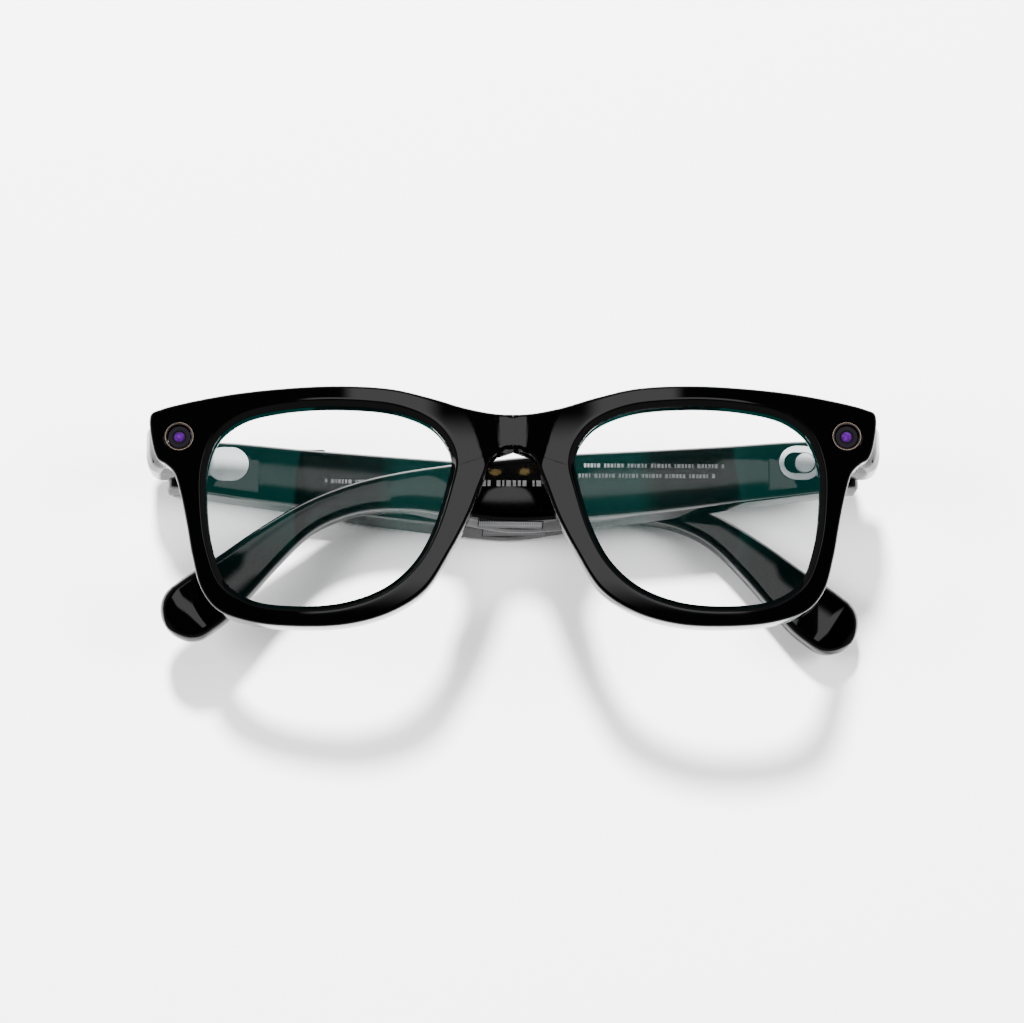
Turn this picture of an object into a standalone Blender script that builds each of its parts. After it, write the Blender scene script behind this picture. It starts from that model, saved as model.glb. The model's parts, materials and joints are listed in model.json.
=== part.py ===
"""Smart glasses, folded, lying on the outer face of the right temple.

Units are millimetres in the code and metres in the scene.  The front is drawn in its own
frame: +X is the wearer's left, +Y is up towards the brow, +Z points out of the front.
Each temple is drawn in a frame on its hinge pin: x runs along the temple, y is up,
z points to the wearer's side (the inner face).
"""

import math

import bmesh
import bpy
import numpy as np
from mathutils import Euler, Matrix, Vector

MM = 0.001

# front
RIM_DEPTH = 5.0
EDGE_ROUND = 0.8
LENS_CENTRE = (36.0, 0.0)
WRAP_X = 30.0
BRIDGE_HALF = 8.0
WRAP_OUTER_R = 180.0
WRAP_INNER_R = 300.0
FACE_BOW_R = 400.0
BRIDGE_ROWS = 5

# the outline of one half of the front, from the bridge top round to the nose arch
HALF_OUTLINE = [
    (0.0, 19.4), (8.4, 20.3), (16.2, 22.5), (24.0, 24.3), (34.0, 24.9), (46.0, 24.5), (58.3, 23.3), (70.0, 21.1),
    (71.8, 20.2), (71.3, 13.6), (70.2, 10.9), (68.6, 9.8), (66.9, 8.0), (65.6, 4.0), (64.2, -2.3),
    (62.9, -9.1), (60.9, -15.8), (57.6, -19.8), (51.0, -22.3), (42.0, -23.3), (32.0, -22.9),
    (23.7, -20.5), (17.2, -16.2), (12.3, -8.5), (8.4, -0.8), (5.8, 6.2), (3.6, 10.9), (0.0, 12.4),
]
LENS_OUTLINE = [
    (34.0, 20.8), (22.3, 19.5), (15.4, 16.1), (12.2, 10.6), (13.1, 4.6), (15.8, -4.2), (19.4, -10.6),
    (24.8, -15.4), (33.0, -18.5), (43.0, -19.1), (51.0, -17.8), (56.2, -14.2), (59.0, -7.2),
    (60.2, 0.5), (60.2, 9.0), (58.0, 14.9), (53.5, 18.4), (46.0, 20.2),
]
LIP_WIDTH = 1.15
LIP_DROP = 1.2
LENS_THICK = 2.0
LENS_SEAT = 1.8
LENS_OVERLAP = 0.6
GROOVE_DEPTH = 0.95
GROOVE_GAP = 0.3

# corner blocks behind the front, which hold the camera and the capture light
BLOCK_FRONT = [(61.8, 10.6), (62.2, 10.2), (68.4, 10.2), (69.7, 11.2), (70.7, 13.6), (70.9, 18.6), (70.3, 19.5),
               (61.4, 21.2)]
BLOCK_REAR = [(60.9, 10.1), (61.3, 9.7), (71.0, 9.7), (72.7, 10.7), (73.3, 12.6), (73.3, 18.2), (72.2, 19.9),
              (60.8, 21.4)]
BLOCK_LEVELS = [(-7.0, 0.0), (-9.5, 0.6), (-12.5, 0.95), (-15.0, 1.0), (-19.0, 1.0)]
BLOCK_REAR_Z = -19.0
CAVITY_X = (62.2, 71.6)
CAVITY_Y = (11.2, 19.0)
CAVITY_FRONT_Z = -9.0
COVER_THICK = 1.6
EYE_X = 66.0
EYE_Y = 15.5
EYE_HOLE_R = 3.2
RING_R = 2.95
RING_BORE_R = 2.45
RING_FRONT_Z = -4.7
RING_DEPTH = 1.6
EYE_BACK_Z = -6.6

# charging contacts and microphone at the bridge
CONTACT_X = 3.0
CONTACT_Y = 15.4
CONTACT_Z = -6.0
MIC_Y = 12.8
MIC_Z = -3.9

# hinge
PIN_X = 67.0
PIN_Z = -22.4
PIN_Y = 13.6
PIN_R = 0.95
PIN_LENGTH = 6.0
TONGUE_BORE_R = 1.1
TONGUE_EYE_R = 2.1
TONGUE_HALF = 1.5
TONGUE_HEIGHT = 3.4
EAR_GAP = 0.3
EAR_THICK = 1.2
EAR_R = 2.3
WEB_X = (2.5, 3.7)
FOLD_TILT = math.radians(3.45)

# temple, measured from the pin: (along, height of the middle, half height)
TEMPLE_LINE = [
    (-2.7, 13.5, 5.05), (11.4, 12.25, 5.75), (23.4, 11.0, 6.2), (41.4, 9.05, 7.05), (56.4, 7.75, 7.5),
    (67.4, 6.95, 7.4), (77.4, 7.2, 6.0), (88.4, 7.4, 4.1), (97.4, 6.1, 3.25), (105.0, 3.4, 3.05),
    (110.0, 0.5, 3.3), (117.0, -5.2, 4.3), (123.2, -11.0, 5.3), (128.0, -15.2, 6.1), (131.4, -17.9, 6.1),
]
OUTER_Z = -6.3
TIP_CURL = 3.8
CURL_START = 86.0
THICKNESS = [(-2.7, 9.0), (11.0, 9.0), (25.0, 7.9), (55.0, 7.0), (80.0, 6.4), (104.0, 5.6), (120.0, 5.1),
             (138.0, 5.3)]
UNDERCUT = [(12.0, 0.0), (30.0, 0.8), (50.0, 1.7), (67.0, 1.9), (80.0, 0.9), (90.0, 0.0)]
BUTT_REACH = 2.7
TIP_ROUND = 5.6
SKIN = 1.35
COVER_START = 15.6
COVER_END = 92.0
COVER_SEAM = 0.15
COVER_STEP = 0.6
COVER_SKIN = 1.3

# pill on the inner face beside each hinge
PILL_X = (5.0, 13.6)
PILL_Y = (9.9, 16.9)
PILL_THICK = 0.6
SWITCH_TRAVEL = 2.0

# capture button in the upper side of the right temple
BUTTON_X = (20.0, 29.0)

# speaker strip in the lower side
GRILLE_X = 67.5
GRILLE_HALF = 6.4
GRILLE_Z = -2.0

# where the folded glasses stand, so that the lowest face is at z = 0 and the middle at x = y = 0
STAND_SHIFT = (-1.0077, -0.5530)
STAND_HEIGHT = PIN_X * math.sin(FOLD_TILT) - PIN_Z * math.cos(FOLD_TILT) - OUTER_Z


# ---------------------------------------------------------------- materials and objects

def material(name, colour, rough, metal=0.0, alpha=1.0):
    made = bpy.data.materials.new(name)
    made.use_nodes = True
    shader = made.node_tree.nodes["Principled BSDF"]
    shader.inputs["Base Color"].default_value = (*colour, 1.0)
    shader.inputs["Roughness"].default_value = rough
    shader.inputs["Metallic"].default_value = metal
    shader.inputs["Alpha"].default_value = alpha
    made.diffuse_color = (*colour, alpha)
    return made


def empty(name, parent, location=(0, 0, 0), turn_y=0.0):
    made = bpy.data.objects.new(name, None)
    made.empty_display_size = 0.01
    bpy.context.scene.collection.objects.link(made)
    made.parent = parent
    made.location = Vector(location) * MM
    made.rotation_euler = Euler((0.0, turn_y, 0.0))
    return made


def solid(name, shape, finish, parent, mirrored=False, origin=(0, 0, 0)):
    """An object from a bmesh in millimetres.  Its own origin is at the given point."""
    if mirrored:
        bmesh.ops.transform(shape, matrix=Matrix.Scale(-1, 4, (1, 0, 0)), verts=shape.verts)
    at = Vector(origin)
    bmesh.ops.translate(shape, vec=-at, verts=shape.verts)
    bmesh.ops.scale(shape, vec=(MM, MM, MM), verts=shape.verts)
    bmesh.ops.recalc_face_normals(shape, faces=shape.faces)
    mesh = bpy.data.meshes.new(name)
    shape.to_mesh(mesh)
    shape.free()
    made = bpy.data.objects.new(name, mesh)
    bpy.context.scene.collection.objects.link(made)
    made.data.materials.append(finish)
    made.parent = parent
    made.location = at * MM
    return made


def cutter(owner, shape, operation="DIFFERENCE", mirrored=False):
    """A Boolean modifier on the owner, with a hidden solid beside it."""
    tool = solid(f"{owner.name}_tool_{len(owner.modifiers)}", shape, owner.data.materials[0],
                 owner.parent, mirrored)
    tool.hide_render = True
    tool.display_type = "WIRE"
    step = owner.modifiers.new(f"shape_{len(owner.modifiers)}", "BOOLEAN")
    step.operation = operation
    step.solver = "EXACT"
    step.object = tool


# ---------------------------------------------------------------- basic shapes

def block(low, high):
    shape = bmesh.new()
    bmesh.ops.create_cube(shape, size=1.0)
    low, high = Vector(low), Vector(high)
    bmesh.ops.scale(shape, vec=high - low, verts=shape.verts)
    bmesh.ops.translate(shape, vec=(low + high) / 2, verts=shape.verts)
    return shape


def prism(outline, low, high, axis="Z"):
    """A straight solid on an outline.  The outline is in the two axes that are left, in order."""
    def place(a, b, c):
        return {"Z": (a, b, c), "Y": (a, c, b), "X": (c, a, b)}[axis]

    shape = bmesh.new()
    lower = [shape.verts.new(place(a, b, low)) for a, b in outline]
    upper = [shape.verts.new(place(a, b, high)) for a, b in outline]
    shape.faces.new(lower)
    shape.faces.new(upper)
    count = len(outline)
    for i in range(count):
        j = (i + 1) % count
        shape.faces.new((lower[i], lower[j], upper[j], upper[i]))
    return shape


def circle(centre, radius, count=32, start=0.0, sweep=2 * math.pi):
    closed = abs(sweep - 2 * math.pi) < 1e-9
    steps = count if closed else count - 1
    return [
        (centre[0] + radius * math.cos(start + sweep * i / steps),
         centre[1] + radius * math.sin(start + sweep * i / steps))
        for i in range(count)
    ]


def disc(centre, radius, low, high, axis="Z", count=32):
    return prism(circle(centre, radius, count), low, high, axis)


def tube(centre, radius, bore, low, high, count=40):
    """A ring on Z."""
    shape = bmesh.new()
    loops = [
        [shape.verts.new((x, y, z)) for x, y in circle(centre, r, count)]
        for r, z in ((radius, low), (radius, high), (bore, high), (bore, low))
    ]
    for k in range(4):
        near, far = loops[k], loops[(k + 1) % 4]
        for i in range(count):
            j = (i + 1) % count
            shape.faces.new((near[i], near[j], far[j], far[i]))
    return shape


def pill(x_range, y_range, low, high):
    """A plate with two round ends, longer in x than in y."""
    radius = (y_range[1] - y_range[0]) / 2
    middle = (y_range[0] + y_range[1]) / 2
    right = circle((x_range[1] - radius, middle), radius, 13, -math.pi / 2, math.pi)
    left = circle((x_range[0] + radius, middle), radius, 13, math.pi / 2, math.pi)
    return prism(right + left, low, high)


# ---------------------------------------------------------------- curves

def smooth_curve(points, per_span, closed, level_ends=False):
    """Points on a centripetal Catmull-Rom curve through the given ones.

    With level ends the curve meets its own mirror image in x = 0 without a kink."""
    pts = [np.array(p, float) for p in points]
    count = len(pts)
    if closed:
        ring = [pts[-1], *pts, pts[0], pts[1]]
        spans = count
    else:
        ends = (2 * pts[0] - pts[1], 2 * pts[-1] - pts[-2])
        if level_ends:
            ends = (pts[1] * (-1, 1), pts[-2] * (-1, 1))
        ring = [ends[0], *pts, ends[1]]
        spans = count - 1
    out = []
    for i in range(spans):
        a, b, c, d = ring[i:i + 4]
        t = [0.0]
        for p, q in ((a, b), (b, c), (c, d)):
            t.append(t[-1] + max(np.linalg.norm(q - p), 1e-9) ** 0.5)
        for k in range(per_span):
            u = t[1] + (t[2] - t[1]) * k / per_span
            ab = (t[1] - u) / (t[1] - t[0]) * a + (u - t[0]) / (t[1] - t[0]) * b
            bc = (t[2] - u) / (t[2] - t[1]) * b + (u - t[1]) / (t[2] - t[1]) * c
            cd = (t[3] - u) / (t[3] - t[2]) * c + (u - t[2]) / (t[3] - t[2]) * d
            abc = (t[2] - u) / (t[2] - t[0]) * ab + (u - t[0]) / (t[2] - t[0]) * bc
            bcd = (t[3] - u) / (t[3] - t[1]) * bc + (u - t[1]) / (t[3] - t[1]) * cd
            out.append((t[2] - u) / (t[2] - t[1]) * abc + (u - t[1]) / (t[2] - t[1]) * bcd)
    if not closed:
        out.append(pts[-1])
    return np.array(out)


def ray_hit(centre, angle, line, closed):
    """The distance from the centre along a ray to the farthest crossing with a line."""
    way = np.array((math.cos(angle), math.sin(angle)))
    best = None
    spans = len(line) if closed else len(line) - 1
    for i in range(spans):
        p = line[i] - centre
        q = line[(i + 1) % len(line)] - centre
        edge = q - p
        cross = way[0] * edge[1] - way[1] * edge[0]
        if abs(cross) < 1e-12:
            continue
        along = (p[0] * edge[1] - p[1] * edge[0]) / cross
        where = (p[0] * way[1] - p[1] * way[0]) / cross
        if along > 0 and -1e-9 <= where <= 1 + 1e-9:
            best = along if best is None else max(best, along)
    return best


def line_distance(point, line, closed):
    spans = len(line) if closed else len(line) - 1
    near = line[:spans]
    far = np.roll(line, -1, axis=0)[:spans]
    edge = far - near
    share = np.clip(((point - near) * edge).sum(1) / np.maximum((edge**2).sum(1), 1e-12), 0, 1)
    return float(np.min(np.linalg.norm(near + edge * share[:, None] - point, axis=1)))


# ---------------------------------------------------------------- the front

def face_height(x, y):
    """The height of the front's outer surface: a gentle wrap to the temples, less at the nose."""
    off = abs(x) - WRAP_X
    radius = WRAP_OUTER_R if off > 0 else WRAP_INNER_R
    wrap = off * off / (2 * radius)
    if abs(x) < BRIDGE_HALF:
        slope = (WRAP_X - BRIDGE_HALF) / WRAP_INNER_R
        edge = (WRAP_X - BRIDGE_HALF) ** 2 / (2 * WRAP_INNER_R)
        wrap = edge + slope * (BRIDGE_HALF**2 - x * x) / (2 * BRIDGE_HALF)
    return -wrap - y * y / (2 * FACE_BOW_R)


def edge_drop(distance, reach=EDGE_ROUND):
    """How far a rounded edge has fallen, at this distance in from the rim's edge."""
    if distance >= reach:
        return 0.0
    return reach * (1 - math.sqrt(max(0.0, 1 - (1 - distance / reach) ** 2)))


def bezel_shape():
    """The whole rim: both lens rings, the bridge and the brow, as one closed shape."""
    outline = smooth_curve(HALF_OUTLINE, 2, closed=False, level_ends=True)
    opening = smooth_curve(LENS_OUTLINE, 8, closed=True)
    centre = np.array(LENS_CENTRE)
    bridge = [np.array((0.0, y)) for y in np.linspace(HALF_OUTLINE[-1][1], HALF_OUTLINE[0][1], BRIDGE_ROWS)]
    outer_points = [*bridge, *outline[1:-1]]

    shape = bmesh.new()
    rows = []
    last = None
    for outer in outer_points:
        angle = math.atan2(*(outer - centre)[::-1])
        if last is not None:
            turn = (last - angle + 0.5) % (2 * math.pi) - 0.5
            angle = last - max(turn, 0.004)
        last = angle
        way = np.array((math.cos(angle), math.sin(angle)))
        inner = centre + way * ray_hit(centre, angle, opening, closed=True)
        width = float(np.linalg.norm(outer - inner))
        across = [0.0, 0.25, 0.8, LIP_WIDTH, (width + LIP_WIDTH - EDGE_ROUND) / 2, width - EDGE_ROUND,
                  width - 0.4, width - 0.1, width]

        def corner(distance, back, depth=None):
            at = inner + (outer - inner) * distance / width
            if depth is not None:
                at = inner + way * distance
                return shape.verts.new((at[0], at[1], face_height(*at) - depth))
            height = face_height(*at)
            inside = line_distance(at, opening, True)
            outside = edge_drop(line_distance(at, outline, False))
            if back:
                rear_fall = max(edge_drop(inside), outside)
                return shape.verts.new((at[0], at[1], height - RIM_DEPTH + 0.6 * rear_fall))
            lip = LIP_DROP * max(0.0, 1 - inside / LIP_WIDTH)
            return shape.verts.new((at[0], at[1], height - max(lip, outside)))

        front = [corner(d, back=False) for d in across]
        rear = [corner(d, back=True) for d in reversed(across)]
        groove_top = LENS_SEAT - GROOVE_GAP
        groove_foot = LENS_SEAT + LENS_THICK + GROOVE_GAP
        groove = [
            corner(0.0, False, groove_foot), corner(GROOVE_DEPTH, False, groove_foot),
            corner(GROOVE_DEPTH, False, groove_top), corner(0.0, False, groove_top),
        ]
        rows.append(front + rear + groove)

    wall = 8
    count = len(rows[0])
    for k in range(len(rows)):
        here, there = rows[k], rows[(k + 1) % len(rows)]
        for i in range(count):
            if i == wall and k < BRIDGE_ROWS - 1:
                continue
            j = (i + 1) % count
            shape.faces.new((here[i], there[i], there[j], here[j]))

    twin = bmesh.ops.duplicate(shape, geom=shape.verts[:] + shape.edges[:] + shape.faces[:])
    twin_verts = [g for g in twin["geom"] if isinstance(g, bmesh.types.BMVert)]
    bmesh.ops.scale(shape, vec=(-1, 1, 1), verts=twin_verts)
    bmesh.ops.remove_doubles(shape, verts=shape.verts, dist=1e-4)
    return shape


def lens_shape():
    opening = smooth_curve(LENS_OUTLINE, 8, closed=True)
    centre = np.array(LENS_CENTRE)
    count = 48
    rings = (0.33, 0.66, 1.0)
    shape = bmesh.new()
    faces = []
    for depth in (LENS_SEAT, LENS_SEAT + LENS_THICK):
        hub = shape.verts.new((*centre, face_height(*centre) - depth))
        loops = []
        for share in rings:
            loop = []
            for k in range(count):
                angle = 2 * math.pi * k / count
                reach = (ray_hit(centre, angle, opening, True) + LENS_OVERLAP) * share
                at = centre + reach * np.array((math.cos(angle), math.sin(angle)))
                loop.append(shape.verts.new((at[0], at[1], face_height(*at) - depth)))
            loops.append(loop)
        faces.append(loops[-1])
        for k in range(count):
            j = (k + 1) % count
            shape.faces.new((hub, loops[0][k], loops[0][j]))
            for a, b in zip(loops, loops[1:]):
                shape.faces.new((a[k], b[k], b[j], a[j]))
    for k in range(count):
        j = (k + 1) % count
        shape.faces.new((faces[0][k], faces[1][k], faces[1][j], faces[0][j]))
    return shape


def corner_block_shape():
    """The block behind one corner of the front, which widens to the rear."""
    shape = bmesh.new()
    loops = []
    for z, share in BLOCK_LEVELS:
        loops.append([
            shape.verts.new((a[0] + (b[0] - a[0]) * share, a[1] + (b[1] - a[1]) * share, z))
            for a, b in zip(BLOCK_FRONT, BLOCK_REAR)
        ])
    shape.faces.new(loops[0])
    shape.faces.new(loops[-1])
    for near, far in zip(loops, loops[1:]):
        for k in range(len(near)):
            j = (k + 1) % len(near)
            shape.faces.new((near[k], near[j], far[j], far[k]))
    bmesh.ops.triangulate(shape, faces=shape.faces)
    return shape


def nose_pad_shape():
    """A pad that grows out of the back of the rim beside the nose."""
    levels = [
        ((12.6, -0.2), (1.3, 5.0), -4.4),
        ((12.6, -0.6), (1.4, 5.2), -6.6),
        ((12.4, -0.8), (1.3, 4.6), -8.2),
        ((12.2, -1.0), (0.9, 3.4), -9.4),
        ((12.1, -1.0), (0.4, 2.0), -9.9),
    ]
    lean = math.radians(-24)
    shape = bmesh.new()
    loops = []
    for (cx, cy), (rx, ry), z in levels:
        loop = []
        for k in range(20):
            angle = 2 * math.pi * k / 20
            dx, dy = rx * math.cos(angle), ry * math.sin(angle)
            x = cx + dx * math.cos(lean) + dy * math.sin(lean)
            y = cy - dx * math.sin(lean) + dy * math.cos(lean)
            loop.append(shape.verts.new((x, y, z + face_height(x, y))))
        loops.append(loop)
    shape.faces.new(loops[0])
    shape.faces.new(loops[-1])
    for near, far in zip(loops, loops[1:]):
        for k in range(20):
            j = (k + 1) % 20
            shape.faces.new((near[k], near[j], far[j], far[k]))
    bmesh.ops.triangulate(shape, faces=[f for f in shape.faces if len(f.verts) > 4])
    return shape


# ---------------------------------------------------------------- the temples

def between(table, value):
    return float(np.interp(value, [row[0] for row in table], [row[1] for row in table]))


def curl(along):
    """How far the temple has curved in towards the head at this distance from the pin."""
    share = max(0.0, (along - CURL_START) / (138.0 - CURL_START))
    return TIP_CURL * share**1.7


def temple_stations(start, end, spacing):
    """Stations on the temple's line: (point, direction, half height, outer z, inner z)."""
    line = smooth_curve(TEMPLE_LINE, 24, closed=False)
    steps = np.linalg.norm(np.diff(line[:, :2], axis=0), axis=1)
    length = np.concatenate(([0.0], np.cumsum(steps)))
    first = np.interp(start, line[:, 0], length)
    last = np.interp(end, line[:, 0], length)
    count = max(2, round((last - first) / spacing) + 1)
    out = []
    for at in np.linspace(first, last, count):
        x, y, half = (np.interp(at, length, line[:, i]) for i in range(3))
        ahead = [np.interp(at + 1.5, length, line[:, i]) for i in range(2)]
        behind = [np.interp(at - 1.5, length, line[:, i]) for i in range(2)]
        slope = math.atan2(ahead[1] - behind[1], ahead[0] - behind[0])
        slope *= min(1.0, max(0.0, (x - COVER_START) / 30.0))
        outer = OUTER_Z + curl(x)
        out.append((np.array((x, y)), slope, half, outer, outer + between(THICKNESS, x)))
    return out


def section(point, slope, half, low, high, radius, per_corner=4):
    """A rounded section across the temple, from z = low to z = high.

    Its lower side rises towards the inner face, by as much as the undercut table says."""
    radius = min(radius, 0.49 * (high - low), 0.98 * half)
    normal = np.array((-math.sin(slope), math.cos(slope)))
    thickness = between(THICKNESS, point[0])
    rise = between(UNDERCUT, point[0]) / thickness
    outer = OUTER_Z + curl(point[0])
    corners = [(half - radius, high - radius, 0), (-half + radius, high - radius, 1),
               (-half + radius, low + radius, 2), (half - radius, low + radius, 3)]
    out = []
    for across, z, turn in corners:
        for k in range(per_corner):
            angle = math.pi / 2 * (turn + k / (per_corner - 1))
            a = across + radius * math.cos(angle)
            b = z + radius * math.sin(angle)
            if across < 0:
                a += rise * (b - outer)
            at = point + normal * a
            out.append((at[0], at[1], b))
    return out


def loft(sections):
    shape = bmesh.new()
    loops = [[shape.verts.new(p) for p in ring] for ring in sections]
    for near, far in zip(loops, loops[1:]):
        for k in range(len(near)):
            j = (k + 1) % len(near)
            shape.faces.new((near[k], near[j], far[j], far[k]))
    for loop in (loops[0], loops[-1]):
        shape.faces.new(loop)
    bmesh.ops.triangulate(shape, faces=[f for f in shape.faces if len(f.verts) > 4])
    return shape


def temple_body_shape():
    sections = []
    for x in (-BUTT_REACH, -2.5, -1.9, -1.0):
        inner = math.sqrt(max(0.0, BUTT_REACH**2 - x * x))
        point = np.array((x, TEMPLE_LINE[0][1]))
        radius = 0.5 if x == -BUTT_REACH else 1.0
        trim = 0.35 if x == -BUTT_REACH else 0.0
        half = TEMPLE_LINE[0][2] - trim
        sections.append(section(point, 0.0, half, OUTER_Z + trim, max(inner, 0.2), radius))
    for point, slope, half, low, high in temple_stations(0.0, 131.4, 5.0):
        sections.append(section(point, slope, half, low, high, 1.6))
    point, slope, half, low, high = temple_stations(0.0, 131.4, 5.0)[-1]
    way = np.array((math.cos(slope), math.sin(slope)))
    middle, thick = (low + high) / 2, (high - low) / 2
    for share in (0.35, 0.65, 0.86, 0.97):
        shrink = math.sqrt(1 - share**2)
        flat = thick * (0.35 + 0.65 * shrink)
        sections.append(section(point + way * TIP_ROUND * share, slope, half * shrink,
                                middle - flat, middle + flat, 1.8))
    return loft(sections)


def inside_shape(inset, low_skin, over, start=COVER_START, end=COVER_END):
    """The hollow behind the temple's inner cover, open to the inner face."""
    sections = [
        section(point, slope, half - inset, low + low_skin, high + over, 0.8, 3)
        for point, slope, half, low, high in temple_stations(start, end, 9.0)
    ]
    return loft(sections)


def cover_shape():
    sections = [
        section(point, slope, half - SKIN - COVER_SEAM, high - COVER_SKIN, high, 0.35, 2)
        for point, slope, half, low, high in temple_stations(
            COVER_START + COVER_STEP, COVER_END - COVER_SEAM, 9.0)
    ]
    return loft(sections)


def inner_z(along):
    return OUTER_Z + curl(along) + between(THICKNESS, along)


def grille_shape(grow=0.0, reach=0.0):
    """A strip in the slanted lower side of the temple, below the speaker."""
    shape = block((-GRILLE_HALF - grow, 0.1 - grow * 6, -1.5 - grow),
                  (GRILLE_HALF + grow, 1.05 + grow + reach, 1.5 + grow))
    low_edge = between([row[:2] for row in TEMPLE_LINE], GRILLE_X)
    low_edge -= between([(row[0], row[2]) for row in TEMPLE_LINE], GRILLE_X)
    rise = between(UNDERCUT, GRILLE_X) / between(THICKNESS, GRILLE_X)
    place = Matrix.Translation((GRILLE_X, low_edge + rise * (GRILLE_Z - OUTER_Z), GRILLE_Z))
    lean = Matrix.Rotation(-math.atan(rise), 4, "X")
    bmesh.ops.transform(shape, matrix=place @ lean, verts=shape.verts)
    return shape


def eye_profile(radius, reach, half):
    """A plate outline: round about the pin, straight to the far end."""
    start = math.asin(half / radius)
    rim = circle((0.0, 0.0), radius, 17, start, 2 * math.pi - 2 * start)
    return [(reach, half), *rim, (reach, -half)]


def fork_shape():
    """A metal fork: two ears on the pin, joined by a web that is set into the temple."""
    ear_low = PIN_Y - TONGUE_HEIGHT / 2 - EAR_GAP - EAR_THICK
    ear_top = PIN_Y + TONGUE_HEIGHT / 2 + EAR_GAP + EAR_THICK
    shape = prism(eye_profile(EAR_R, WEB_X[1], EAR_R - 0.1), ear_low, ear_top, "Y")
    return shape, block((-4.0, ear_low + EAR_THICK, -4.0), (WEB_X[0], ear_top - EAR_THICK, 4.0))


def tongue_outline():
    """The hinge tongue seen along the pin: an eye with a neck that runs forward."""
    start = math.asin(TONGUE_HALF / TONGUE_EYE_R)
    rim = circle((0.0, 0.0), TONGUE_EYE_R, 17, math.pi / 2 + start, 2 * math.pi - 2 * start)
    return [(PIN_X + a, PIN_Z + b) for a, b in
            [(TONGUE_HALF, 8.0), *reversed(rim), (-TONGUE_HALF, 8.0)]]


# ---------------------------------------------------------------- assembly

def build_front(parent, looks):
    frame = solid("frame_front", bezel_shape(), looks["gloss"], parent)
    cavity_mid = ((CAVITY_X[0] + CAVITY_X[1]) / 2, (CAVITY_Y[0] + CAVITY_Y[1]) / 2)
    for mirrored in (False, True):
        cutter(frame, corner_block_shape(), "UNION", mirrored)
        cutter(frame, nose_pad_shape(), "UNION", mirrored)
    for mirrored in (False, True):
        cutter(frame, block((CAVITY_X[0], CAVITY_Y[0], -22.0),
                            (CAVITY_X[1], CAVITY_Y[1], CAVITY_FRONT_Z)), mirrored=mirrored)
        cutter(frame, disc((EYE_X, EYE_Y), EYE_HOLE_R, -9.5, 2.0), mirrored=mirrored)
        cutter(frame, disc((CONTACT_X, CONTACT_Y), 1.4, -8.0, CONTACT_Z + 0.1), mirrored=mirrored)
    cutter(frame, disc((0.0, MIC_Z), 1.0, 10.0, MIC_Y + 1.5, "Y", 20))

    for side, mirrored in (("left", False), ("right", True)):
        solid(f"lens_{side}", lens_shape(), looks["lens"], parent, mirrored)
        rear = BLOCK_REAR_Z + 0.1
        plate = solid(f"corner_cover_{side}", block(
            (CAVITY_X[0] + 0.2, CAVITY_Y[0] + 0.2, rear),
            (CAVITY_X[1] - 0.2, CAVITY_Y[1] - 0.2, rear + COVER_THICK)), looks["matt"], parent, mirrored)
        tongue_low = PIN_Y - TONGUE_HEIGHT / 2
        tongue_top = PIN_Y + TONGUE_HEIGHT / 2
        cutter(plate, block((PIN_X - TONGUE_HALF - 0.25, tongue_low - 0.25, rear - 1),
                            (PIN_X + TONGUE_HALF + 0.25, tongue_top + 0.25, rear + 3)), mirrored=mirrored)
        tongue = solid(f"hinge_tongue_{side}", prism(tongue_outline(), tongue_low, tongue_top, "Y"),
                       looks["steel"], parent, mirrored)
        cutter(tongue, block((cavity_mid[0] - 3.8, cavity_mid[1] - 3.5, PIN_Z + 6.9),
                             (cavity_mid[0] + 3.8, cavity_mid[1] + 3.5, PIN_Z + 8.3)), "UNION", mirrored)
        cutter(tongue, disc((PIN_X, PIN_Z), TONGUE_BORE_R, tongue_low - 1, tongue_top + 1, "Y"),
               mirrored=mirrored)

    for node, side_mirrored, core in (("camera", False, "lens_bronze"), ("light", True, "lens_bronze")):
        foot = RING_FRONT_Z - RING_DEPTH
        solid(f"{node}_ring", tube((EYE_X, EYE_Y), RING_R, RING_BORE_R, foot, RING_FRONT_Z),
              looks[core], parent, side_mirrored)
        solid(f"{node}_window", disc((EYE_X, EYE_Y), RING_BORE_R - 0.15, foot, foot + 0.9, count=40),
              looks["glass"], parent, side_mirrored)
    barrel = solid("camera_module", disc((EYE_X, EYE_Y), 2.7, -11.0, EYE_BACK_Z), looks["module"], parent)
    cutter(barrel, block((EYE_X - 3.3, EYE_Y - 3.3, -13.6), (EYE_X + 3.3, EYE_Y + 3.3, -9.6)), "UNION")
    guide = solid("light_guide", disc((EYE_X, EYE_Y), 2.5, -10.2, EYE_BACK_Z), looks["clear"], parent, True)
    cutter(guide, disc((EYE_X, EYE_Y), 2.9, -10.2, -9.4), "UNION", True)
    solid("light_board", block((EYE_X - 3.6, EYE_Y - 3.4, -11.6), (EYE_X + 3.6, EYE_Y + 3.4, -10.5)),
          looks["board"], parent, True)
    for side, mirrored in (("left", False), ("right", True)):
        solid(f"charge_contact_{side}", disc((CONTACT_X, CONTACT_Y), 1.15, CONTACT_Z - 0.85, CONTACT_Z,
                                             count=24), looks["gold"], parent, mirrored)
    solid("nose_microphone", disc((0.0, MIC_Z), 0.8, MIC_Y, MIC_Y + 1.4, "Y", 20), looks["brass"], parent)


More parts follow.
